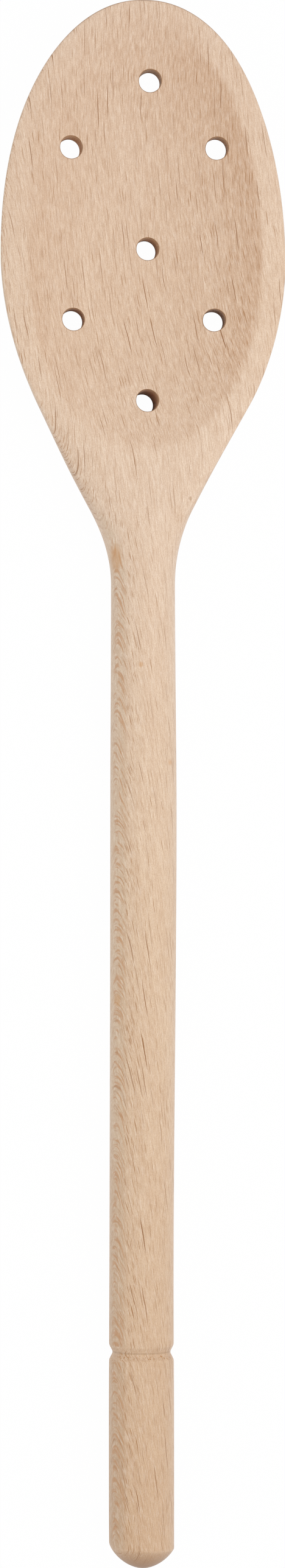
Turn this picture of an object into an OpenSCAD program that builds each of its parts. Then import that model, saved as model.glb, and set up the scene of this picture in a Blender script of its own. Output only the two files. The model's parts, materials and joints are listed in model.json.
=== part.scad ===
// Wooden serving spoon with drain holes, carved from one piece of beech.
// The spoon lies on its back: +Y points to the bowl's tip, +X to the right seen from above, +Z up.
// The origin is under the middle of the spoon, on the surface that it lies on. Sizes are millimetres.

/* [Spoon] */
// Length from the bowl's tip to the end of the handle
spoon_l = 350; // [280:5:420]
// How far right of the bowl's outline the hollow, the holes and the handle lie, as made
work_x = 0.35; // [-0.8:0.05:0.8]

/* [Bowl] */
// Width of the bowl at its widest place
bowl_w = 63.5; // [54:0.1:76]
// Distance from the tip to the widest place
bowl_tip_l = 58; // [50:0.5:66]
// Distance from the widest place to where its rear curve would close if there were no shoulders
bowl_rear_l = 52.5; // [46:0.5:60]
// Angle between the spoon's axis and the bowl's straight shoulders
shoulder_angle = 27.75; // [23:0.25:34]
// Thickness at the deepest place of the back
belly_t = 15.4; // [14:0.1:18]
// Distance from the tip to the deepest place of the back
belly_l = 85; // [76:1:94]
// Angle at which the back rises from the belly to the tip
back_angle = 9.5; // [6:0.5:10]
// Length over which the back turns from the belly into that rise
belly_turn_l = 25; // [15:1:35]
// Thickness of the rounded edge above the widest line of the sides
rim_t = 2; // [1.2:0.1:2.6]

/* [Hollow] */
// Width of the rim left round the hollow
rim_w = 5.85; // [4:0.05:8]
// Length of the hollow
hollow_l = 94; // [86:0.2:98]
// Depth of the hollow below the rim
hollow_d = 6; // [4.6:0.1:7]

/* [Drain holes] */
// Diameter of the drill
hole_d = 5; // [3:0.1:7]
// Sideways offset of the middle row where the bowl is widest, as drilled
middle_row_x = 1; // [-1.5:0.1:1.5]
// Angle by which the middle row is turned to the right at the tip, as drilled
middle_row_angle = 0.5; // [-1.5:0.1:1.5]

/* [Neck] */
// Radius of the fillet between a shoulder and the handle
neck_fillet_r = 36; // [16:1:44]
// Straight length between that fillet and the turned handle
neck_run_l = 4.5; // [2:0.5:12]

/* [Handle] */
// Diameter of the handle
handle_d = 14.6; // [12:0.1:17]
// Length of the domed end
dome_l = 5.2; // [3:0.1:6]
// Distance from the end of the handle to the middle of the groove
groove_l = 48.4; // [20:0.2:80]
// Width of the groove at the surface
groove_w = 3.4; // [2:0.1:6]
// Width of the flat at the bottom of the groove
groove_flat_w = 0.4; // [0.2:0.1:1.5]
// Depth of the groove
groove_d = 0.8; // [0.4:0.1:2]

/* [Hidden] */

// Roundness of the forms: 2 is an ellipse, a lower number is leaner, and a higher one is squarer.
tip_power = 2.1;
rear_power = 1.8;
rim_power = 6;
back_power = 2.2;
round_power = 2;
// How far each row of holes lies along the hollow, counted from the tip's end of it.
single_row_shares = [0.128, 0.523, 0.886];
pair_row_shares = [0.287, 0.694];
// How far out each pair's holes lie, of the hollow's half width.
pair_out_shares = [0.628, 0.608];
// Where the hollow's edge lies across a ring of points, of the ring's half width.
edge_share = cos(37.5);
edge_least_share = 0.3;

// The neck is this much thicker than the handle, so that the handle ends in the neck's flat face.
joint_lip = 0.03;
joint_overlap = 1.5;
overrun = 1;

// Counts of rings along the spoon and of steps across a ring.
tip_rings = 6;
hollow_rings = 30;
neck_rings = 12;
top_steps = 32;
back_steps = 24;
round_steps = 96;

bowl_r = bowl_w / 2;
handle_r = handle_d / 2;
neck_r = handle_r + joint_lip;
rim_z = max(belly_t, 2 * neck_r);
axis_z = rim_z - neck_r;
tip_y = spoon_l / 2;

// The shoulder leaves the bowl's rear curve where their slopes are the same.
shoulder_slope = tan(shoulder_angle);
shoulder_turn = pow(bowl_rear_l * shoulder_slope / bowl_r, rear_power / (rear_power - 1));
shoulder_share = pow(shoulder_turn / (1 + shoulder_turn), 1 / rear_power);
shoulder_s = bowl_tip_l + shoulder_share * bowl_rear_l;
shoulder_half_w = bowl_r * crown(shoulder_share, rear_power);
corner_s = shoulder_s + (shoulder_half_w - neck_r) / shoulder_slope;
fillet_tangent = neck_fillet_r * tan(shoulder_angle / 2);
fillet_start_s = corner_s - fillet_tangent * cos(shoulder_angle);
fillet_end_s = corner_s + fillet_tangent;
joint_s = fillet_end_s + neck_run_l;

hollow_half_w = bowl_r - rim_w;
hollow_start_s = rim_w;
hollow_end_s = hollow_start_s + hollow_l;

dome_r = (pow(handle_r, 2) + pow(dome_l, 2)) / (2 * dome_l);
handle_l = spoon_l - joint_s;

wood = [0.87, 0.74, 0.58];

// A place along the spoon is its distance s from the tip.
function along(s) = tip_y - s;
function mix(a, b, share) = a + (b - a) * share;
function ease(share) = let (k = min(max(share, 0), 1)) k * k * (3 - 2 * k);

// Height of a rounded form at a share q of its half width: 1 in the middle, 0 at the side.
function crown(q, power) = pow(max(1 - pow(q, power), 0), 1 / power);

// 0 in the bowl, where the section has a flat rim, and 1 where the neck is round.
function neck_share(s) = ease((s - hollow_end_s) / (fillet_end_s - hollow_end_s));
function power_at(s, bowl_power) = 1 / mix(1 / bowl_power, 1 / round_power, neck_share(s));

// The outline's half width: the bowl's tip and rear curves, the shoulder, the fillet and the neck.
function half_width(s) =
    s <= bowl_tip_l ? bowl_r * crown((bowl_tip_l - s) / bowl_tip_l, tip_power) :
    s <= shoulder_s ? bowl_r * crown((s - bowl_tip_l) / bowl_rear_l, rear_power) :
    s <= fillet_start_s ? shoulder_half_w - (s - shoulder_s) * shoulder_slope :
    s < fillet_end_s
        ? neck_r + neck_fillet_r - sqrt(pow(neck_fillet_r, 2) - pow(fillet_end_s - s, 2)) :
    neck_r;

// The outline's middle line moves over to the handle's axis along the fillets.
function middle_x(s) = work_x * ease((s - fillet_start_s) / (fillet_end_s - fillet_start_s));

// The tip's edge is rounded over as the sides' edges are.
function tip_round(s) = s < bowl_tip_l ? crown((bowl_tip_l - s) / bowl_tip_l, rim_power) : 1;

// Thickness along the middle, without the hollow: a straight rise that turns softly into the belly.
function bowl_thickness(s) =
    let (ahead = max(belly_l - s, 0))
    belly_t - (norm([ahead, belly_turn_l]) - belly_turn_l) * tan(back_angle);

// Heights of the section above and below the widest line of its sides.
function above(s) = mix(rim_t, neck_r, neck_share(s));
function below(s) = mix(bowl_thickness(s) - rim_t, neck_r, neck_share(s));
function widest_z(s) = rim_z - above(s);

// The hollow is a dish that is deepest where the bowl is widest. Its rims stand off the bowl's sides
// and tip by rim_w. The run is a place's share of the way from there to the hollow's end.
function hollow_run(s) =
    s < bowl_tip_l
        ? (bowl_tip_l - s) / (bowl_tip_l - hollow_start_s)
        : (s - bowl_tip_l) / (hollow_end_s - bowl_tip_l);
function hollow_edge(s) = hollow_half_w * crown(min(hollow_run(s), 1), tip_power);
function hollow_depth(x, s) =
    let (across = pow(abs(x - work_x) / hollow_half_w, tip_power))
    let (lengthwise = pow(hollow_run(s), tip_power))
    hollow_d * max(1 - pow(across + lengthwise, 2 / tip_power), 0);

// Each ring has a point on each edge of the hollow. Away from the hollow it keeps a steady share.
function edge_at(s, side) =
    s < hollow_start_s ? mix(edge_share, edge_least_share, ease(s / hollow_start_s)) :
    s > hollow_end_s ? mix(edge_least_share, edge_share, neck_share(s)) :
    max((hollow_edge(s) + side * work_x) / half_width(s), edge_least_share);
function across_share(q, s) =
    let (out = abs(q))
    let (edge = edge_at(s, sign(q)))
    sign(q) * (out < edge_share
        ? out / edge_share * edge
        : mix(edge, 1, (out - edge_share) / (1 - edge_share)));

function top_point(q, s) =
    let (x = middle_x(s) + q * half_width(s))
    let (rise = above(s) * tip_round(s) * crown(abs(q), power_at(s, rim_power)))
    [x, along(s), widest_z(s) + rise - hollow_depth(x, s)];
function back_point(q, s) =
    let (drop = below(s) * tip_round(s) * crown(abs(q), power_at(s, back_power)))
    [middle_x(s) + q * half_width(s), along(s), widest_z(s) - drop];

// A ring runs over the top from the right side to the left, and back under the spoon.
function ring(s) = concat(
    [for (i = [0 : top_steps]) top_point(across_share(cos(180 * i / top_steps), s), s)],
    [for (i = [1 : back_steps - 1]) back_point(-cos(180 * i / back_steps), s)]);

ring_places = concat(
    [for (i = [1 : tip_rings]) hollow_start_s * (1 - cos(90 * i / tip_rings))],
    [for (i = [1 : hollow_rings - 1])
        hollow_start_s + (1 - cos(180 * i / hollow_rings)) * hollow_l / 2],
    [for (i = [0 : neck_rings]) mix(hollow_end_s, joint_s, i / neck_rings)]);

// Skin through rings of equal counts, closed by a point at the start and a flat face at the end.
module loft(start_point, rings) {
    n = len(rings[0]);
    last = len(rings) - 1;
    points = [start_point, each [for (r = rings) each r]];
    nose = [for (i = [0 : n - 1]) [0, 1 + i, 1 + (i + 1) % n]];
    skin = [for (k = [0 : last - 1]) for (i = [0 : n - 1])
        let (a = 1 + k * n + i)
        let (b = 1 + k * n + (i + 1) % n)
        each [[a, a + n, b + n], [a, b + n, b]]];
    end = [for (i = [0 : n - 1]) 1 + last * n + n - 1 - i];
    polyhedron(points, concat(nose, skin, [end]));
}

module bowl_and_neck() {
    loft([0, tip_y, widest_z(0)], [for (s = ring_places) ring(s)]);
}

// Half of the handle's section, from inside the neck to the domed end, with its groove.
module handle_profile() {
    difference() {
        intersection() {
            translate([0, -joint_overlap]) square([handle_r, handle_l + joint_overlap]);
            union() {
                translate([0, -joint_overlap])
                    square([handle_r, handle_l - dome_l + joint_overlap]);
                translate([0, handle_l - dome_r]) circle(r = dome_r, $fn = round_steps);
            }
        }
        translate([handle_r, handle_l - groove_l]) polygon([
            [overrun, -groove_w / 2],
            [0, -groove_w / 2],
            [-groove_d, -groove_flat_w / 2],
            [-groove_d, groove_flat_w / 2],
            [0, groove_w / 2],
            [overrun, groove_w / 2]]);
    }
}

module turned_handle() {
    translate([work_x, along(joint_s), axis_z])
        rotate([90, 0, 0]) rotate_extrude($fn = round_steps) handle_profile();
}

module drain_hole(x, s) {
    translate([x, along(s), -overrun])
        cylinder(d = hole_d, h = rim_z + 2 * overrun, $fn = round_steps);
}

module drain_holes() {
    for (share = single_row_shares) {
        s = hollow_start_s + share * hollow_l;
        drain_hole(work_x + middle_row_x + (bowl_tip_l - s) * tan(middle_row_angle), s);
    }
    for (i = [0 : len(pair_row_shares) - 1], side = [-1, 1])
        drain_hole(work_x + side * pair_out_shares[i] * hollow_half_w,
            hollow_start_s + pair_row_shares[i] * hollow_l);
}

module spoon() {
    color(wood) difference() {
        union() {
            bowl_and_neck();
            turned_handle();
        }
        drain_holes();
    }
}

spoon();
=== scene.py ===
# %% [markdown]
# A wooden serving spoon, carved from one piece of beech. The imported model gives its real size, the
# holes and the handle, so every shape below starts from what the frame says. Lengths are worked out
# in millimetres, because that is how a woodworker would write them, and turned to metres at the end.

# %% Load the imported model
import json
import math

import bpy
import numpy as np
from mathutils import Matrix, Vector


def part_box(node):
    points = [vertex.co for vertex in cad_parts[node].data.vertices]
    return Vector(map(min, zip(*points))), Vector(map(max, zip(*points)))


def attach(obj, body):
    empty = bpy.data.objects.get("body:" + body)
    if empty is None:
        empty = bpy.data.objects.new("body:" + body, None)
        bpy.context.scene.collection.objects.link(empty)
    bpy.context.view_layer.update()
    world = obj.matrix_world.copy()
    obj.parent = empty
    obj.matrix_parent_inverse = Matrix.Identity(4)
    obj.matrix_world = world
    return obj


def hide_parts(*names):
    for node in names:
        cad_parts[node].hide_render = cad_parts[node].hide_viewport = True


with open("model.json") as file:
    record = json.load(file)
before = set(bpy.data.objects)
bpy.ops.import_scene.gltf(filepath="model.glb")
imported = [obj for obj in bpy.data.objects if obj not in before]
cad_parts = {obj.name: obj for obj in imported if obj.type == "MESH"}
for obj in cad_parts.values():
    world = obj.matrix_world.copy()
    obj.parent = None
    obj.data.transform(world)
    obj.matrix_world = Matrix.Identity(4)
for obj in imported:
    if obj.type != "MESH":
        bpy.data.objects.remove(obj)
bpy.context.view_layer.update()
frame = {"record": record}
MM = 0.001

low, high = (np.array(corner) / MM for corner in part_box("spoon"))
mounts = {mount["name"]: mount for mount in frame["record"]["mounts"]}
grip = mounts["handle_grip"]
holes = [mount for name, mount in mounts.items() if mount["kind"] == "bore"]

spoon_l = high[1] - low[1]
tip_y = high[1]
bowl_r = (high[0] - low[0]) / 2
rim_z = high[2]
handle_r = grip["dims"]["r_mm"]
work_x = grip["pos_m"][0] / MM
axis_z = grip["pos_m"][2] / MM
print("spoon", round(spoon_l, 1), "mm long,", round(2 * bowl_r, 1), "mm wide,", len(holes), "holes")

# %% [markdown]
# The outline seen from above. From the tip the bowl swells to its widest place and draws in again by
# two curves, a fuller one ahead and a leaner one behind. Then comes a straight shoulder on each side
# and a hollow fillet into the round handle. A place along the spoon is its distance s from the tip, so
# all the forms below are functions of s, and of a share q of the half width at s that runs from -1 at
# the left side to 1 at the right.

# %% Outline
bowl_tip_l, bowl_rear_l = 58.0, 52.5
tip_power, rear_power = 2.1, 1.8
shoulder_angle = math.radians(27.75)
neck_fillet_r, neck_run_l = 36.0, 4.5
shoulder_slope = math.tan(shoulder_angle)
shoulder_turn = (bowl_rear_l * shoulder_slope / bowl_r) ** (rear_power / (rear_power - 1))
shoulder_share = (shoulder_turn / (1 + shoulder_turn)) ** (1 / rear_power)
shoulder_s = bowl_tip_l + shoulder_share * bowl_rear_l
shoulder_half_w = bowl_r * (1 - shoulder_share ** rear_power) ** (1 / rear_power)
corner_s = shoulder_s + (shoulder_half_w - handle_r) / shoulder_slope
fillet_tangent = neck_fillet_r * math.tan(shoulder_angle / 2)
fillet_start_s = corner_s - fillet_tangent * math.cos(shoulder_angle)
fillet_end_s = corner_s + fillet_tangent
neck_end_s = fillet_end_s + neck_run_l


def crown(q, power):
    """Height of a rounded form at share q of its half width: (1 - q^power) to the power 1/power."""
    return np.power(np.clip(1 - np.abs(q) ** power, 0, None), 1 / power)


def ease(share):
    """A smooth step: 3k^2 - 2k^3 of the share, held between 0 and 1."""
    k = np.clip(share, 0, 1)
    return k * k * (3 - 2 * k)


def mix(a, b, share):
    """The value that lies share of the way from a to b."""
    return a + (b - a) * share


def half_width(s):
    """The tip's curve, the rear curve, the shoulder's straight line, the fillet's arc, then the handle."""
    ahead = bowl_r * crown((bowl_tip_l - s) / bowl_tip_l, tip_power)
    behind = bowl_r * crown((s - bowl_tip_l) / bowl_rear_l, rear_power)
    shoulder = shoulder_half_w - (s - shoulder_s) * shoulder_slope
    left_over = np.clip(fillet_end_s - s, 0, fillet_end_s - fillet_start_s)
    fillet = handle_r + neck_fillet_r - np.sqrt(neck_fillet_r ** 2 - left_over ** 2)
    return np.select([s <= bowl_tip_l, s <= shoulder_s, s <= fillet_start_s, s < fillet_end_s],
                     [ahead, behind, shoulder, fillet], handle_r)


def middle_x(s):
    """The outline's middle line, which moves over to the handle's axis along the fillets."""
    return work_x * ease((s - fillet_start_s) / (fillet_end_s - fillet_start_s))


print("neck ends", round(float(neck_end_s), 1), "mm from the tip")

# %% [markdown]
# The section. Across the bowl it has a flat rim with rounded edges above and a full, convex back
# below. Towards the handle both turn into half circles. One formula covers both: a superellipse,
# whose power goes from 6 (flat) or 2.2 (full) to 2 (round). The spoon is turned as a round blank before
# its bowl is cut flat, so the round flanks already start beside the end of the hollow. The cut lies a
# little askew, and the left flank starts sooner than the right one.

# %% Section
rim_t = 2.0
belly_t = 15.4
belly_l = 85.0
back_slope = math.tan(math.radians(9.5))
belly_turn_l = 25.0
rim_power, back_power = 6.0, 2.2
rim_w = 5.85
hollow_l, hollow_d = 94.0, 6.0
hollow_half_w = bowl_r - rim_w
hollow_end_s = rim_w + hollow_l
left_round_s, right_round_s = (80.0, 120.0), (96.0, 130.0)


def across_share(x, s):
    """Share of the half width at which a place lies, from -1 at the left side to 1 at the right."""
    return (x - middle_x(s)) / half_width(s)


def neck_share(q, s):
    """0 along the bowl and 1 where the neck is round, by a smooth step that comes later to the right."""
    rightness = ease((q + 1) / 2)
    start_s = mix(left_round_s[0], right_round_s[0], rightness)
    end_s = mix(left_round_s[1], right_round_s[1], rightness)
    return ease((s - start_s) / (end_s - start_s))


def above(q, s):
    """Height of the section over the widest line of its sides."""
    return mix(rim_t, handle_r, neck_share(q, s))


def below(q, s):
    """Depth of the section under that line: a straight rise to the tip that turns softly into the belly."""
    ahead = np.clip(belly_l - s, 0, None)
    thickness = belly_t - (np.hypot(ahead, belly_turn_l) - belly_turn_l) * back_slope
    return mix(thickness - rim_t, handle_r, neck_share(q, s))


def tip_round(s):
    """The tip's edge is rounded over as the sides' edges are, by the same superellipse."""
    return np.where(s < bowl_tip_l, crown((bowl_tip_l - s) / bowl_tip_l, rim_power), 1.0)


print("rim", rim_t, "mm thick, belly", belly_t, "mm thick,", belly_l, "mm from the tip")

# %% [markdown]
# The hollow is a shallow dish, cut by a round tool and then sanded. Its depth is that of a paraboloid
# over an oval that stands off the outline by an even rim. A sharp paraboloid would leave a knife edge
# at the rim, so the depth passes through a soft clamp, which rounds the edge over. The sander went
# over the tip's left more than the rest, and there the edge all but disappears.

# %% Hollow
edge_softness, worn_softness = 0.045, 0.26
worn_from, worn_over = 0.5, 0.4
rim_fade = 0.02


def hollow_inside(x, s):
    """1 - rho^2, where rho is 0 in the hollow's middle and 1 all along its edge."""
    room = np.where(s < bowl_tip_l, bowl_tip_l - rim_w, hollow_end_s - bowl_tip_l)
    across = (np.abs(x - work_x) / hollow_half_w) ** tip_power
    lengthwise = (np.abs(s - bowl_tip_l) / room) ** tip_power
    return 1 - (across + lengthwise) ** (2 / tip_power)


def hollow_softness(x, s):
    """How far the edge is rounded over: little, but much more towards the worn place left of the tip."""
    towards_worn = (bowl_tip_l - s) / (bowl_tip_l - rim_w) - x / (2 * hollow_half_w)
    return mix(edge_softness, worn_softness, ease((towards_worn - worn_from) / worn_over))


def hollow_depth(x, s):
    """Soft clamp of 1 - rho^2, times the depth, which fades to nothing on the rim."""
    inside, soft = hollow_inside(x, s), hollow_softness(x, s)
    lift = np.sqrt(inside ** 2 + soft ** 2)
    return hollow_d * (inside + lift) / 2 * ease((lift + inside) / rim_fade)


def top_z(x, s):
    """Height of the upper surface: widest line, plus the rounded edge, less the hollow."""
    q = across_share(x, s)
    power = 1 / mix(1 / rim_power, 1 / 2, neck_share(q, s))
    rise = above(q, s) * tip_round(s) * crown(q, power)
    return rim_z - above(q, s) + rise - hollow_depth(x, s)


def back_z(x, s):
    """Height of the back: widest line, less the depth of the section there."""
    q = across_share(x, s)
    power = 1 / mix(1 / back_power, 1 / 2, neck_share(q, s))
    return rim_z - above(q, s) - below(q, s) * tip_round(s) * crown(q, power)


floor_t = float(top_z(work_x, bowl_tip_l) - back_z(work_x, bowl_tip_l))
print("floor is", round(floor_t, 1), "mm thick")

# %% [markdown]
# The handle is turned round, with a V groove and a domed end. On the lathe these are one profile:
# radius against length. The dome is a little more pointed than a ball, and it was sanded a little off
# centre, so it meets the handle sooner on one side. Its rings are found from the dome's own centre: in
# each direction the reach is the smaller of the way to the handle's wall and the dome's radius.

# %% Handle
groove_s = spoon_l - 48.4
groove_w, groove_flat_w, groove_d = 3.4, 0.4, 0.8
dome_l, dome_r, dome_off_x = 6.1, 7.65, 0.3
dome_fullness, dome_lift = 1.5, 0.55
corner_softness = 0.12


def soft_min(a, b, soft):
    """The smaller of two lengths, with the corner where they cross rounded over by soft."""
    return (a + b - np.sqrt((a - b) ** 2 + soft ** 2)) / 2


def groove_depth(s):
    """A V with a small flat: a slope down from each shoulder, held between 0 and the full depth."""
    slope = groove_d / ((groove_w - groove_flat_w) / 2)
    cut = soft_min((groove_w / 2 - np.abs(s - groove_s)) * slope, groove_d, corner_softness)
    return groove_d - soft_min(groove_d - cut, groove_d, corner_softness)


def handle_section(s, angle):
    """Place (x, height over the axis) on the handle for a place s and an angle round from +X."""
    share = ease((s - (spoon_l - 2 * dome_l)) / dome_l)
    centre = dome_off_x * share
    wall = -centre * np.cos(angle) + np.sqrt(handle_r ** 2 - (centre * np.sin(angle)) ** 2)
    wall = wall - groove_depth(s)
    run = np.clip((s - (spoon_l - dome_l)) / dome_l, 0, 1)
    dome = dome_r * (1 - run ** dome_fullness) ** dome_lift
    reach = np.where(s > spoon_l - 2 * dome_l, soft_min(wall, dome, corner_softness * (1 - run)), wall)
    return work_x + centre + reach * np.cos(angle), reach * np.sin(angle)


print("groove", groove_w, "mm wide and", groove_d, "mm deep, dome", dome_l, "mm long")

# %% [markdown]
# The skin. Every ring has the same count of points: over the top from the right side to the left, and
# back underneath. Rings lie close together where the form turns fast, at the tip, the groove and the
# dome, and further apart along the straight handle, where a line is a line.

# %% Rings of the skin
across_n = 120
half_turn = np.linspace(0, 180, across_n + 1)
tip_s, grooved = 4.0, 2.6
dome_lead_l, dome_tip_l = 0.8, 2.2
dome_start_s = spoon_l - dome_l - dome_lead_l
ring_s = np.concatenate([
    tip_s * (1 - np.cos(np.radians(np.linspace(0, 90, 15)[1:]))),
    np.linspace(tip_s, neck_end_s, 218)[1:],
    np.linspace(neck_end_s, groove_s - grooved, 42)[1:],
    np.linspace(groove_s - grooved, groove_s + grooved, 40)[1:],
    np.linspace(groove_s + grooved, dome_start_s, 11)[1:],
    np.linspace(dome_start_s, spoon_l - dome_tip_l, 16)[1:],
    spoon_l - dome_tip_l * np.cos(np.radians(np.linspace(0, 90, 12)[1:-1])) ** 2])
top_angle = np.radians(half_turn)
back_angle = np.radians(180 + half_turn[1:-1])
ring_angle = np.concatenate([top_angle, back_angle])
ring_n = len(ring_angle)

S, A = np.meshgrid(ring_s, ring_angle, indexing="ij")
is_top = np.arange(ring_n)[None, :] <= across_n
bowl_x = middle_x(S) + np.cos(A) * half_width(S)
bowl_z = np.where(is_top, top_z(bowl_x, S), back_z(bowl_x, S))
turned_x, turned_h = handle_section(S, A)
in_handle = S >= neck_end_s
grid = np.stack([np.where(in_handle, turned_x, bowl_x), tip_y - S,
                 np.where(in_handle, axis_z + turned_h, bowl_z)], axis=-1)
print("skin:", len(ring_s), "rings of", ring_n, "points")

# %% [markdown]
# The hollow gets painted shade, more on its steep walls than on its floor, and most of all on the right
# wall, which faces away from the lamp. The same share marks where the cutter left the fibres rougher.
# The material will need to know this, so every point of the skin is kept with three shares: how much it
# belongs to a hole's wall, how dark a torn edge and painted shade on a hole's wall make it, and how much
# painted shade the hollow gives it.

# %% Points with what the material needs
# Painted shade in the hollow, which also marks its rougher cut: less on the floor, to the left and towards
# the neck.
floor_shade, left_shade, neck_shade = 0.35, 0.6, 0.45
floor_turn, shade_turn_w = 1.3, 30.0
shade_fade_s, shade_fade_l = 75.0, 20.0


def cutter_and_shade(x, s):
    """Painted shade for the hollow, which also marks its rougher cut: a smooth step over the hollow's edge,
    times three shares, which are less on the floor, less to the left and less towards the neck."""
    inside = hollow_inside(x, s)
    over_edge = ease(0.5 + inside / (3 * hollow_softness(x, s)))
    on_floor = mix(1.0, floor_shade, np.clip(inside * floor_turn, 0, 1))
    to_left = mix(left_shade, 1.0, ease(0.5 + x / shade_turn_w))
    to_neck = mix(1.0, neck_shade, ease((s - shade_fade_s) / shade_fade_l))
    return over_edge * on_floor * to_left * to_neck


kept_rows = []


def keep(points, bored, torn_edges_and_wall_shade, shaded_hollow):
    """Keep points as rows of x, y, z and three shares, and give their numbers in the list."""
    shares = [np.broadcast_to(share, points.shape[:-1]) for share in (bored, torn_edges_and_wall_shade, shaded_hollow)]
    rows = np.stack([*np.moveaxis(points, -1, 0), *shares], axis=-1).reshape(-1, 6)
    first = sum(len(kept) for kept in kept_rows)
    kept_rows.append(rows)
    return first + np.arange(len(rows)).reshape(points.shape[:-1])


grid_numbers = keep(grid, 0.0, 0.0, np.where(is_top & ~in_handle, cutter_and_shade(bowl_x, S), 0.0))
print("points of the rings:", grid_numbers.size)

# %% [markdown]
# The drain holes are drilled, so their walls are straight and their edges are crisp, only broken by
# the sandpaper. A boolean could cut them, but it would leave long thin triangles that catch the light.
# So round each hole a block of the grid's cells is taken out, and the block's edge is a loop of grid
# points. Rings of points close in from that loop to the drill's circle and go over the broken edge.

# %% Rings round a hole
patch_reach = 4.3
closing_shares = np.array([0.25, 0.5, 0.72, 0.88, 1.0])
edge_break = 0.18
break_steps = np.radians([22.5, 45.0, 67.5, 90.0])


def block_round(hole_x, hole_s):
    """First and last row and column of the block of cells that makes room for a hole."""
    reach = np.array([-patch_reach, patch_reach])
    rows = np.searchsorted(ring_s, hole_s + reach) + [-1, 0]
    columns = np.searchsorted(top_angle, np.arccos((hole_x - reach) / half_width(hole_s))) + [-1, 0]
    return rows, columns


def block_loop(rows, columns):
    """Grid places round the edge of a block of cells, once round without repeating a corner."""
    r0, r1 = rows
    c0, c1 = columns
    down = np.arange(r0, r1)
    over = np.arange(c0, c1)
    row = np.concatenate([np.full(len(over), r0), down, np.full(len(over), r1), down[::-1] + 1])
    column = np.concatenate([over, np.full(len(down), c1), over[::-1] + 1, np.full(len(down), c0)])
    return row, column


def closing_rings(loop_xs, middle, radius, surface, outward):
    """Rings from a loop (x, s) in to a hole: straight steps to its rim, then the broken edge's quarter
    round. Gives each point's x, s and height."""
    out = loop_xs - middle
    way = out / np.linalg.norm(out, axis=1, keepdims=True)
    rim = middle + way * (radius + edge_break)
    plan = loop_xs + (rim - loop_xs) * closing_shares[:, None, None]
    edge_plan = middle + way * (radius + edge_break * (1 - np.sin(break_steps)))[:, None, None]
    height = surface(plan[..., 0], plan[..., 1])
    edge_height = height[-1] - outward * edge_break * (1 - np.cos(break_steps))[:, None]
    x, s = np.moveaxis(np.concatenate([plan, edge_plan]), -1, 0)
    return x, s, np.concatenate([height, edge_height])


print("a hole's rings:", len(closing_shares), "on the skin and", len(break_steps), "over the edge")

# %% [markdown]
# Above and below, the rings of a hole are the same. Between them the wall goes straight down, and the
# chain of all of them is joined ring to ring. A drill in a hand press wanders a little, so most holes
# come out a few tenths of a millimetre off on the back. It tore the edges, which are darker for it, and
# the walls of three holes are darkened further with painted shade.

# %% Holes
drill_wander = {"hole_tip": (-0.1, 0.2), "hole_upper_left": (-0.3, 0.13),
                "hole_upper_right": (-0.05, -0.12), "hole_middle": (-0.3, 0.1),
                "hole_lower_left": (0.05, -0.22), "hole_lower_right": (0.1, -0.18),
                "hole_neck": (-0.38, 0.2)}
# Painted shade: the walls of these three holes are darkened further, each by its share.
shaded_walls = {"hole_tip": 1.0, "hole_upper_right": 0.55, "hole_lower_right": 0.6}
edge_shares = np.linspace(0.25, 1, len(break_steps))
bored_by_ring = np.concatenate([np.zeros(len(closing_shares)), edge_shares])[:, None]
wall_steps = np.linspace(0, 1, 7)[1:-1, None, None]

hole_faces = []
taken = np.zeros((len(ring_s), ring_n), bool)
for hole in holes:
    name, radius = hole["name"], hole["dims"]["r_mm"]
    centre = np.array([hole["pos_m"][0] / MM, tip_y - hole["pos_m"][1] / MM])
    rows, columns = block_round(*centre)
    row, column = block_loop(rows, columns)
    loop_xs = np.stack([grid[row, column, 0], ring_s[row]], axis=-1)
    back_column = (ring_n - column) % ring_n
    chain, edges = [], []
    for outward, surface, middle, ring_column in (
            (1, top_z, centre, column), (-1, back_z, centre + drill_wander[name], back_column)):
        x, s, z = closing_rings(loop_xs, middle, radius, surface, outward)
        loops = np.stack([x, tip_y - s, z], axis=-1)
        shaded_hollow = cutter_and_shade(x, s) if outward > 0 else 0.0
        numbers = keep(loops, bored_by_ring, bored_by_ring > 0, shaded_hollow)
        chain.append([grid_numbers[row, ring_column], *numbers])
        edges.append(loops[-1])
    wall = edges[0] + (edges[1] - edges[0]) * wall_steps
    wall_numbers = keep(wall, 1.0, shaded_walls.get(name, 0.0), 0.0)
    chain = [*chain[0], *wall_numbers, *reversed(chain[1])]
    for first, second in zip(chain[:-1], chain[1:]):
        hole_faces.append(np.stack([first, np.roll(first, -1), np.roll(second, -1), second], axis=-1))
    taken[slice(*rows), slice(*columns)] = True
    taken[slice(*rows), slice(*(ring_n - columns[::-1]))] = True
print("holes:", len(holes), "with", sum(len(faces) for faces in hole_faces), "faces")

# %% [markdown]
# No wooden spoon comes off the belt sander quite true. This one's outline swings a few tenths of a
# millimetre to either side of its middle line, and its handle swells a little below the neck and is
# thinner ahead of the groove. Both are a smooth line through a few values along the spoon. In the bowl
# only the outer edge moves, so the holes stay where they were drilled.

# %% Hand-sanded irregularities
drift_s = [0, 27, 84, 106, 122, 182, 296, 350]
drift_x = [0.25, -0.19, 0.35, -0.21, 0.07, 0.17, -0.28, -0.26]
swell_s = [130, 182, 280, 320, 350]
swell_r = [-0.15, 0.12, -0.12, 0.0, 0.0]
edge_from, edge_over = 0.7, 0.3


def through(places, values, s):
    """A smooth line through a few values: eased from each to the next."""
    places, values = np.array(places, float), np.array(values)
    i = np.clip(np.searchsorted(places, s) - 1, 0, len(places) - 2)
    return mix(values[i], values[i + 1], ease((s - places[i]) / (places[i + 1] - places[i])))


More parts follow.
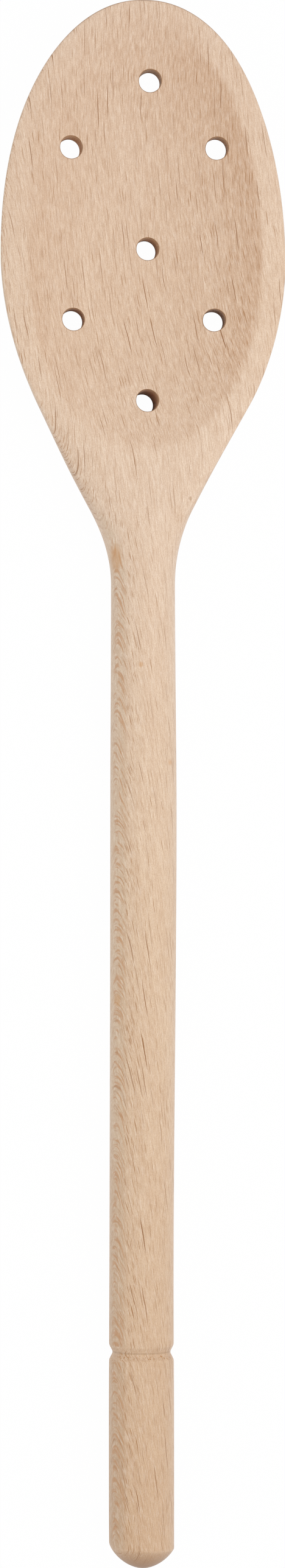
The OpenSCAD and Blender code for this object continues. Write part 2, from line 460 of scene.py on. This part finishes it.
ends = np.array([[0.0, tip_y, rim_z - rim_t], [work_x + dome_off_x, tip_y - spoon_l, axis_z]])
tip_number, end_number = keep(ends, 0.0, 0.0, 0.0)
points = np.concatenate(kept_rows)
s = tip_y - points[:, 1]
on_handle = ease((s - fillet_start_s) / (fillet_end_s - fillet_start_s))
out_share = np.abs(points[:, 0] - middle_x(s)) / np.maximum(half_width(s), 1.0)
moves = np.maximum(ease((out_share - edge_from) / edge_over), on_handle)
growth = through(swell_s, swell_r, s) / handle_r * on_handle
points[:, 0] += (points[:, 0] - work_x) * growth + through(drift_s, drift_x, s) * moves
points[:, 2] += (points[:, 2] - axis_z) * growth
points[:, 2] = np.minimum(points[:, 2], rim_z)
print("largest swing", round(float(np.abs(through(drift_s, drift_x, s)).max()), 2), "mm")

# %% [markdown]
# The rings are joined by four-sided faces, leaving out the blocks round the holes. The two ends close
# on one point each. All of it is worked out as whole arrays and handed to the mesh in one go.

# %% Join the skin
around = np.roll(grid_numbers, -1, axis=1)
skin = np.stack([grid_numbers[:-1], around[:-1], around[1:], grid_numbers[1:]], axis=-1)
skin = skin[~taken[:-1]]
tip_fan = np.stack([np.full(ring_n, tip_number), around[0], grid_numbers[0]], axis=-1)
end_fan = np.stack([np.full(ring_n, end_number), grid_numbers[-1], around[-1]], axis=-1)
quads = np.concatenate([skin, *hole_faces])
triangles = np.concatenate([tip_fan, end_fan])

mesh = bpy.data.meshes.new("beech_spoon")
corners = np.concatenate([quads.ravel(), triangles.ravel()])
starts = np.concatenate([np.arange(len(quads)) * 4, len(quads) * 4 + np.arange(len(triangles)) * 3])
mesh.vertices.add(len(points))
mesh.vertices.foreach_set("co", (points[:, :3] * MM).ravel())
mesh.loops.add(len(corners))
mesh.loops.foreach_set("vertex_index", corners.astype(np.int32))
mesh.polygons.add(len(starts))
mesh.polygons.foreach_set("loop_start", starts.astype(np.int32))
mesh.polygons.foreach_set("use_smooth", np.ones(len(starts), bool))
mesh.update(calc_edges=True)
for name, shares in zip(("bored", "torn_edges_and_wall_shade", "hollow_cut_and_shade"), points[:, 3:].T):
    mesh.attributes.new(name, "FLOAT", "POINT").data.foreach_set("value", np.ascontiguousarray(shares))
print("mesh:", len(points), "points,", len(starts), "faces, valid:", not mesh.validate())

spoon = bpy.data.objects.new("beech_spoon", mesh)
bpy.context.scene.collection.objects.link(spoon)
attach(spoon, "root")
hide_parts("spoon")

# %% [markdown]
# Beech, sawn, turned and fine sanded, with no oil or varnish. What the eye reads as beech are its
# rays: thin brown ribbons that stand along the grain and run out from the heart of the tree. Cut edge
# on they are short dark lines, and cut almost flat they are soft arches. Both come from one solid
# pattern, so the same ribbons show as lines on the bowl and as arches along the side of the handle.

# %% Helpers for materials
def linear(hex_colour):
    """An sRGB colour in hex as the linear colour that Blender's nodes work with."""
    values = [int(hex_colour[i:i + 2], 16) / 255 for i in (1, 3, 5)]
    return [v / 12.92 if v <= 0.04045 else ((v + 0.055) / 1.055) ** 2.4 for v in values] + [1.0]


def add(tree, kind, inputs, out=0, **settings):
    """Add a node, set its settings, fill its inputs with values or links, and give one of its outputs."""
    node = tree.nodes.new("ShaderNode" + kind)
    for name, value in settings.items():
        setattr(node, name, value)
    for key, value in inputs.items():
        if isinstance(value, bpy.types.NodeSocket):
            tree.links.new(value, node.inputs[key])
        else:
            node.inputs[key].default_value = value
    return node.outputs[out] if node.outputs else node


print("half grey is", round(linear("#808080")[0], 3), "in linear light")

# %% [markdown]
# Wood has directions of its own: along the grain, out along the rays, and square to the rays. The
# pattern is measured in millimetres along these three, not along the object's axes. The ribbons face
# up and to the left. At the tip the grain runs true, and from there it bows to one side, as it does
# where a blank is sawn from a stem that isn't quite straight. A slow swing and a quicker kink keep the
# lines from looking ruled.

# %% Directions in the wood
ray_tilt = math.radians(59)
grain_lean, bow_l = 0.17, 35.0

beech = bpy.data.materials.new("beech, sawn and fine sanded")
beech.use_nodes = True
tree = beech.node_tree
tree.nodes.clear()

place = add(tree, "TexCoord", {}, "Object")
in_mm = add(tree, "VectorMath", {0: place, "Scale": 1 / MM}, operation="SCALE")
y_mm = add(tree, "SeparateXYZ", {0: in_mm}, "Y")
s_mm = add(tree, "Math", {0: tip_y, 1: y_mm}, operation="SUBTRACT")
bow_at = add(tree, "CombineXYZ", {0: s_mm, 1: bow_l})
bow = add(tree, "VectorMath", {0: bow_at}, "Value", operation="LENGTH")
shift = add(tree, "Math", {0: bow, 1: -grain_lean, 2: grain_lean * bow_l}, operation="MULTIPLY_ADD")
bent = add(tree, "VectorMath", {0: in_mm, 1: add(tree, "CombineXYZ", {0: shift})}, operation="ADD")
for length_mm, girth_mm, swing_mm in ((80.0, 34.0, 4.0), (9.0, 4.5, 0.6)):
    slow = add(tree, "Mapping", {"Vector": in_mm, "Scale": (1 / girth_mm, 1 / length_mm, 1 / girth_mm)})
    noise = add(tree, "TexNoise", {"Vector": slow, "Scale": 1.0, "Detail": 1.0}, "Color")
    centred = add(tree, "VectorMath", {0: noise, 1: (0.5, 0.5, 0.5)}, operation="SUBTRACT")
    swing = add(tree, "VectorMath", {0: centred, 1: (swing_mm, 0.0, swing_mm)}, operation="MULTIPLY")
    bent = add(tree, "VectorMath", {0: bent, 1: swing}, operation="ADD")

across = (-math.sin(ray_tilt), 0.0, math.cos(ray_tilt))
along = (0.0, -1.0, 0.0)
outward = (math.cos(ray_tilt), 0.0, math.sin(ray_tilt))
parts = [add(tree, "VectorMath", {0: bent, 1: way}, "Value", operation="DOT_PRODUCT")
         for way in (across, along, outward)]
wood = add(tree, "CombineXYZ", dict(enumerate(parts)))
print("grain bows by", round(grain_lean * (math.hypot(spoon_l, bow_l) - bow_l), 1), "mm over the spoon")

# %% [markdown]
# How the surface cuts the wood counts as much as the pattern. Where it lies flat on the ribbons, along
# the left flank of the handle, their faces get a painted grey sheen between brown arches, and single
# lines fade. Beside that strip it cuts the small rays aslant, so there they crowd and show, and on the
# other side they are too thin to. The arches show best a few degrees further up, where the surface is
# turned to the light.
# Where it cuts the fibres across, at the dome, the open ends swallow light and look darker. The lines are
# faintest on the neck, which was sanded most, and strongest at the handle's end, where the wood is browner.

# %% How the surface cuts the wood
arch_tilt = math.radians(52)
arch_way = (-math.sin(arch_tilt), 0.0, math.cos(arch_tilt))
normal = add(tree, "NewGeometry", {}, "Normal")
cuts = []
for way in (across, along, arch_way):
    facing = add(tree, "VectorMath", {0: normal, 1: way}, "Value", operation="DOT_PRODUCT")
    cuts.append(add(tree, "Math", {0: facing}, operation="ABSOLUTE"))
flatness, endwise, arch_flatness = cuts
flat_cut = add(tree, "MapRange", {"Value": flatness, "From Min": 0.86, "From Max": 0.96},
               interpolation_type="SMOOTHSTEP")
end_cut = add(tree, "MapRange", {"Value": endwise, "From Min": 0.4, "From Max": 0.9})
arch_cut = add(tree, "MapRange", {"Value": arch_flatness, "From Min": 0.93, "From Max": 0.99},
               interpolation_type="SMOOTHSTEP")
long_lines = add(tree, "MapRange", {"Value": flat_cut, "To Min": 1.0, "To Max": 0.25})
for from_mm, to_mm, change in ((90.0, 108.0, 0.75), (110.0, 320.0, 1.75)):
    by_place = add(tree, "MapRange", {"Value": s_mm, "From Min": from_mm, "From Max": to_mm,
                                      "To Min": 1.0, "To Max": change})
    long_lines = add(tree, "Math", {0: long_lines, 1: by_place}, operation="MULTIPLY")
slant_cut = add(tree, "MapRange", {"Value": flatness, "From Min": 0.62, "From Max": 0.88,
                                   "To Min": 0.5, "To Max": 2.0})
short_lines = add(tree, "Math", {0: long_lines, 1: slant_cut}, operation="MULTIPLY")
print("ribbons face", round(math.degrees(ray_tilt)), "degrees to the left of straight up")

# %% [markdown]
# A ray is a flat lens in the wood. Voronoi cells place them: each cell has one point, and the lens
# stands on that point. Its three half sizes are real ones: the thickness across, the height along the
# grain, and the reach outwards. Each cell's random colour sets how large and how dark its lens is, so a
# few are strong and most are faint. The thinnest real rays are drawn two or three times as thick as
# they are, or they would not show.

# %% Rays
least_dark = 0.25


def rays(cell_mm, lens_mm, least, edge, strength):
    """Lenses in the wood, one to a cell: its size less the way from its point, over a soft edge."""
    stretched = add(tree, "Mapping", {"Vector": wood, "Scale": tuple(1 / v for v in cell_mm)})
    cells = add(tree, "TexVoronoi", {"Vector": stretched, "Scale": 1.0}).node
    from_point = add(tree, "VectorMath", {0: stretched, 1: cells.outputs["Position"]}, operation="SUBTRACT")
    in_lens = add(tree, "VectorMath", {0: from_point, 1: tuple(c / v for c, v in zip(cell_mm, lens_mm))},
                  operation="MULTIPLY")
    reach = add(tree, "VectorMath", {0: in_lens}, "Value", operation="LENGTH")
    colour = add(tree, "SeparateColor", {0: cells.outputs["Color"]}, 0)
    size = add(tree, "Math", {0: colour, 1: 1 - least, 2: least}, operation="MULTIPLY_ADD")
    inside = add(tree, "Math", {0: size, 1: reach}, operation="SUBTRACT")
    held = add(tree, "Math", {0: inside, 1: 1 / edge}, operation="MULTIPLY", use_clamp=True)
    dark = add(tree, "Math", {0: colour.node.outputs[1], 1: 1 - least_dark, 2: least_dark},
               operation="MULTIPLY_ADD")
    shown = add(tree, "Math", {0: held, 1: dark}, operation="MULTIPLY")
    return add(tree, "Math", {0: shown, 1: strength}, operation="MULTIPLY", use_clamp=True)


broad_rays = rays((1.0, 10.0, 10.0), (0.105, 5.0, 4.6), least=0.35, edge=0.3, strength=long_lines)
middle_rays = rays((0.5, 4.5, 7.5), (0.085, 2.1, 3.2), least=0.4, edge=0.35, strength=long_lines)
fine_rays = rays((0.25, 2.4, 3.0), (0.062, 1.3, 1.5), least=0.45, edge=0.3, strength=short_lines)
print("with rays:", len(tree.nodes), "nodes")

# %% [markdown]
# Between the rays are the fibres and pores, drawn as long thin noise, with darker flecks, and paler
# flecks that are partly paler wood and partly painted glints.
# Broader than all of them are the growth rings and slow changes of tone through the plank. The arches
# on the flank are sheets of wood a tenth of a millimetre apart, which the flat cut spreads to about two.

# %% Fibres, rings and tone
def streaks(size_mm, detail, low, high):
    """Noise stretched to a size along the wood's directions, as a share that goes from 0 to 1."""
    stretched = add(tree, "Mapping", {"Vector": wood, "Scale": tuple(1 / v for v in size_mm)})
    noise = add(tree, "TexNoise", {"Vector": stretched, "Scale": 1.0, "Detail": detail, "Roughness": 0.6})
    return add(tree, "MapRange", {"Value": noise, "From Min": low, "From Max": high})


fibres = streaks((0.28, 6.0, 0.5), detail=3.0, low=0.3, high=0.7)
flecks = streaks((0.19, 2.8, 0.5), detail=1.0, low=0.32, high=0.68)
# Pale flecks: partly paler wood, partly painted glints.
pale_flecks_and_glints = streaks((0.18, 2.0, 0.5), detail=1.0, low=0.5, high=0.75)
pores = streaks((0.15, 0.3, 0.15), detail=0.0, low=0.3, high=0.7)
arches = streaks((0.12, 9.0, 3.0), detail=1.5, low=0.49, high=0.62)
tone = streaks((7.0, 45.0, 7.0), detail=2.0, low=0.3, high=0.7)
ring_w, ring_wobble, ring_power = 2.8, 2.4, 3.0
ring_turn = add(tree, "Math", {0: parts[2], 1: 1 / ring_w}, operation="MULTIPLY")
ring_at = add(tree, "Mapping", {"Vector": in_mm, "Scale": (1 / 12, 1 / 50, 1 / 12)})
wobble = add(tree, "TexNoise", {"Vector": ring_at, "Scale": 1.0, "Detail": 2.0})
ring_phase = add(tree, "Math", {0: wobble, 1: ring_wobble, 2: ring_turn}, operation="MULTIPLY_ADD")
ring_share = add(tree, "Math", {0: ring_phase}, operation="FRACT")
rings = add(tree, "Math", {0: ring_share, 1: ring_power}, operation="POWER")
print("growth rings", ring_w, "mm wide")

# %% [markdown]
# Small marks make it this piece of wood and no other: a tan stain on the left of the neck where resin
# dried, a few fainter ones along the handle, and a pin knot on the right shoulder.

# %% Marks in the wood
mark_d = 3.0


def mark(x, s, z, half_x, half_s):
    """A soft-edged spot: 1 in the middle of an ellipsoid round a place, and 0 outside it."""
    from_middle = add(tree, "VectorMath", {0: in_mm, 1: (x, tip_y - s, z)}, operation="SUBTRACT")
    in_spot = add(tree, "VectorMath", {0: from_middle, 1: (1 / half_x, 1 / half_s, 1 / mark_d)},
                  operation="MULTIPLY")
    reach = add(tree, "VectorMath", {0: in_spot}, "Value", operation="LENGTH")
    return add(tree, "MapRange", {"Value": reach, "From Min": 0.6, "From Max": 1.1,
                                  "To Min": 1.0, "To Max": 0.0})


flank_z = axis_z + handle_r / 2
stain = mark(-5.9, 124.2, flank_z, 1.5, 3.5)
small_stains = ((-5.6, 222.8, flank_z, 0.8, 1.7), (-0.5, 148.0, rim_z, 0.5, 0.7),
                (6.2, 169.8, rim_z - 1, 0.6, 0.9), (12.1, 112.0, rim_z, 1.1, 0.7))
for small_stain in small_stains:
    stain = add(tree, "Math", {0: stain, 1: mark(*small_stain)}, operation="MAXIMUM")
knot = mark(10.5, 111.0, rim_z - 0.5, 0.45, 0.5)
print("marks:", len(small_stains) + 1, "stains and a knot")

# %% [markdown]
# The ground colour changes along the spoon. It is palest round the neck and turns browner towards the
# handle's end.

# %% Ground colour
s_share = add(tree, "Math", {0: s_mm, 1: 1 / spoon_l}, operation="MULTIPLY")
ramp = add(tree, "ValToRGB", {0: s_share}).node
plank_tones = ((0.0, "#f4dcc5"), (0.2, "#f4dcc3"), (0.32, "#f7e1ca"), (0.6, "#efd6b9"), (1.0, "#e0c1a0"))
for i, (at, colour) in enumerate(plank_tones):
    stop = ramp.color_ramp.elements[i] if i < 2 else ramp.color_ramp.elements.new(at)
    stop.position, stop.color = at, linear(colour)
body = ramp.outputs[0]
print("plank tones:", len(plank_tones))

# %% [markdown]
# Some layers don't show everywhere. The arches keep to their strip, the left flank gets painted shade
# towards the end, and the flecks are strongest in the hollow, where the cutter roughened the fibres. A
# thin line of painted shade lies along the groove's bottom, and the turning tool tore a few fibres out
# of the groove's lower wall, which left small brown pits in a row.

# %% Where the layers show
bored, torn_edges_and_wall_shade, hollow_cut_and_shade = (add(tree, "Attribute", {}, "Fac", attribute_name=name)
                         for name in ("bored", "torn_edges_and_wall_shade", "hollow_cut_and_shade"))
arched = add(tree, "Math", {0: arches, 1: arch_cut}, operation="MULTIPLY")
# Painted shade on the left flank where it lies flat on the ribbons, growing towards the handle's end.
towards_end = add(tree, "MapRange", {"Value": s_mm, "From Min": 240.0, "From Max": 335.0})
left_flank_shade = add(tree, "Math", {0: towards_end, 1: flat_cut}, operation="MULTIPLY")
fleck_share = add(tree, "Math", {0: hollow_cut_and_shade, 1: 1.0, 2: 0.8}, operation="MULTIPLY_ADD")
flecked = add(tree, "Math", {0: flecks, 1: fleck_share}, operation="MULTIPLY")
# The first band is painted shade along the groove's bottom; the second holds the pits below it.
bands = []
for middle_mm, reach_mm in ((groove_s - 0.2, 0.3), (groove_s + 0.75, 0.8)):
    from_middle = add(tree, "Math", {0: s_mm, 1: middle_mm}, operation="SUBTRACT")
    distance = add(tree, "Math", {0: from_middle}, operation="ABSOLUTE")
    bands.append(add(tree, "MapRange", {"Value": distance, "From Min": reach_mm / 3, "From Max": reach_mm,
                                        "To Min": 1.0, "To Max": 0.0}))
groove_line_shade, below_groove = bands
torn_spots = streaks((0.5, 0.45, 0.5), detail=1.0, low=0.59, high=0.66)
pits = add(tree, "Math", {0: below_groove, 1: torn_spots}, operation="MULTIPLY")
print("groove line", round(groove_s, 1), "mm from the tip")

# %% [markdown]
# On the ground colour each part lays its own brown, by a share that says how strongly it shows. The
# wood's own pattern comes first, and what tools and time did to it comes last. Among them lie painted
# sheen on the left flank, painted glints among the pale flecks, and painted shade on that flank, in the
# hollow, in the groove and on three hole walls.

# %% Layers of colour
layers = [
    # Painted sheen: grey where the left flank lies flat on the ribbons; next, painted shade on that flank
    # towards the end.
    (flat_cut, 0.35, "#d4c6ac"), (left_flank_shade, 0.17, "#976b42"), (tone, 0.15, "#cba37e"),
    # The hollow's layer is a shade darker for its rougher cut, plus painted shade on its walls, most on the
    # right.
    (rings, 0.10, "#c08f66"), (hollow_cut_and_shade, 0.29, "#c08650"), (fibres, 0.29, "#b98d67"),
    # The pale flecks are partly paler wood and partly painted glints.
    (flecked, 0.27, "#ab7d56"), (pores, 0.24, "#a87d58"), (pale_flecks_and_glints, 0.27, "#fbecdd"),
    (arched, 0.58, "#bd824c"), (fine_rays, 0.70, "#a8733f"), (middle_rays, 0.78, "#a06b36"),
    (broad_rays, 0.92, "#915d2c"), (end_cut, 0.95, "#976b42"), (stain, 0.52, "#cb965e"),
    # A thin line of painted shade along the groove's bottom, beside the real pits.
    (knot, 0.40, "#9f764a"), (groove_line_shade, 0.32, "#96704a"), (pits, 0.75, "#ad7434"),
    # Drilled walls, then torn edges darkened, plus painted shade on three holes' walls.
    (bored, 0.74, "#d4942f"), (torn_edges_and_wall_shade, 0.55, "#7d5231")]
for share, strength, colour in layers:
    amount = add(tree, "Math", {0: share, 1: strength}, operation="MULTIPLY")
    body = add(tree, "Mix", {0: amount, 6: body, 7: linear(colour)}, 2, data_type="RGBA")
print("colour layers:", len(layers))

# %% [markdown]
# Sanded bare wood is matt, with a short fuzz of fibres that catches light at a glancing angle and pales
# the flanks. The rays are a little softer than the fibres, so sanding leaves them a touch lower, which
# shows only in how the light catches them.

# %% Finish of the beech
relief_mm = 0.05
least_rough, fibre_rough = 0.58, 0.1
sunk = add(tree, "Math", {0: broad_rays, 1: middle_rays}, operation="ADD")
height = add(tree, "Math", {0: fibres, 1: sunk}, operation="SUBTRACT")
bump = add(tree, "Bump", {"Height": height, "Strength": 0.3, "Distance": relief_mm * MM})
roughness = add(tree, "Math", {0: fibres, 1: fibre_rough, 2: least_rough}, operation="MULTIPLY_ADD")
shader = add(tree, "BsdfPrincipled", {"Base Color": body, "Roughness": roughness, "IOR": 1.46,
                                      "Normal": bump, "Sheen Weight": 0.32, "Sheen Roughness": 0.5})
add(tree, "OutputMaterial", {"Surface": shader})
mesh.materials.append(beech)
print("beech:", len(tree.nodes), "nodes")

# %% [markdown]
# The stage is a plain white table. To the camera it is white paper, and the object's shadow on it
# stays faint, as it is in a picture taken in a light tent.

# %% Table
floor_half = 1500 * MM
floor_mesh = bpy.data.meshes.new("table")
floor_corners = [(-floor_half, -floor_half, 0), (floor_half, -floor_half, 0),
                 (floor_half, floor_half, 0), (-floor_half, floor_half, 0)]
floor_mesh.from_pydata(floor_corners, [], [(0, 1, 2, 3)])
floor = bpy.data.objects.new("table", floor_mesh)
bpy.context.scene.collection.objects.link(floor)

paper = bpy.data.materials.new("white paper table")
paper.use_nodes = True
tree = paper.node_tree
tree.nodes.clear()
glow_share = 0.98
matt = add(tree, "BsdfDiffuse", {"Color": linear("#f2f2f2")})
glow = add(tree, "Emission", {"Color": (1, 1, 1, 1), "Strength": 1.0})
seen = add(tree, "LightPath", {}, "Is Camera Ray")
lit_share = add(tree, "Math", {0: seen, 1: glow_share}, operation="MULTIPLY")
both = add(tree, "MixShader", {0: lit_share, 1: matt, 2: glow})
add(tree, "OutputMaterial", {"Surface": both})
floor_mesh.materials.append(paper)
print("table", 2 * floor_half, "m wide")

# %% [markdown]
# The tent's walls and roof are the world. To the camera they are white too, but as a light they are a
# little weaker, so that the pale wood doesn't wash out.

# %% Sky
sky_strength = 0.84
world = bpy.data.worlds.new("pale studio")
world.use_nodes = True
tree = world.node_tree
tree.nodes.clear()
seen = add(tree, "LightPath", {}, "Is Camera Ray")
strength = add(tree, "Math", {0: seen, 1: 1 - sky_strength, 2: sky_strength}, operation="MULTIPLY_ADD")
sky = add(tree, "Background", {"Color": (1, 1, 1, 1), "Strength": strength})
add(tree, "OutputWorld", {"Surface": sky})
bpy.context.scene.world = world
print("sky strength", sky_strength)

# %% [markdown]
# A light tent lights almost evenly from all round. One soft lamp stands high up to the right of the
# handle's upper half, so the left flanks are a little darker and the light falls off towards the end.

# %% Lamps
def lamp(name, place_mm, aim_mm, side_mm, watts):
    """A square soft lamp at a place, turned towards another."""
    data = bpy.data.lights.new(name, "AREA")
    data.size = side_mm * MM
    data.energy = watts
    light = bpy.data.objects.new(name, data)
    light.location = Vector(place_mm) * MM
    light.rotation_euler = (Vector(aim_mm) - Vector(place_mm)).to_track_quat("-Z", "Y").to_euler()
    bpy.context.scene.collection.objects.link(light)


lamp("soft lamp on the right", (210, 20, 460), (0, -20, 0), 260, 0.54)
print("lamps:", len(bpy.data.lights))

# %% [markdown]
# The camera looks down on the spoon from a little over a metre, and stands a little to its left, so
# that the left flanks show and the holes show their right walls.

# %% Camera
camera_height = 1110.0
camera_left = 78.0
camera_aim = (-0.2, 0.415)
frame_l = 348.55
camera_data = bpy.data.cameras.new("over the table")
camera = bpy.data.objects.new("over the table", camera_data)
camera.location = Vector((camera_aim[0] - camera_left, camera_aim[1], rim_z + camera_height)) * MM
camera.rotation_euler = (0.0, math.atan2(-camera_left, camera_height), 0.0)
camera_data.sensor_fit = "VERTICAL"
camera_data.angle = 2 * math.atan(frame_l / 2 / math.hypot(camera_left, camera_height))
bpy.context.scene.collection.objects.link(camera)
bpy.context.scene.camera = camera
bpy.context.scene.view_settings.view_transform = "Standard"
print("camera angle", round(math.degrees(camera_data.angle), 1), "degrees")
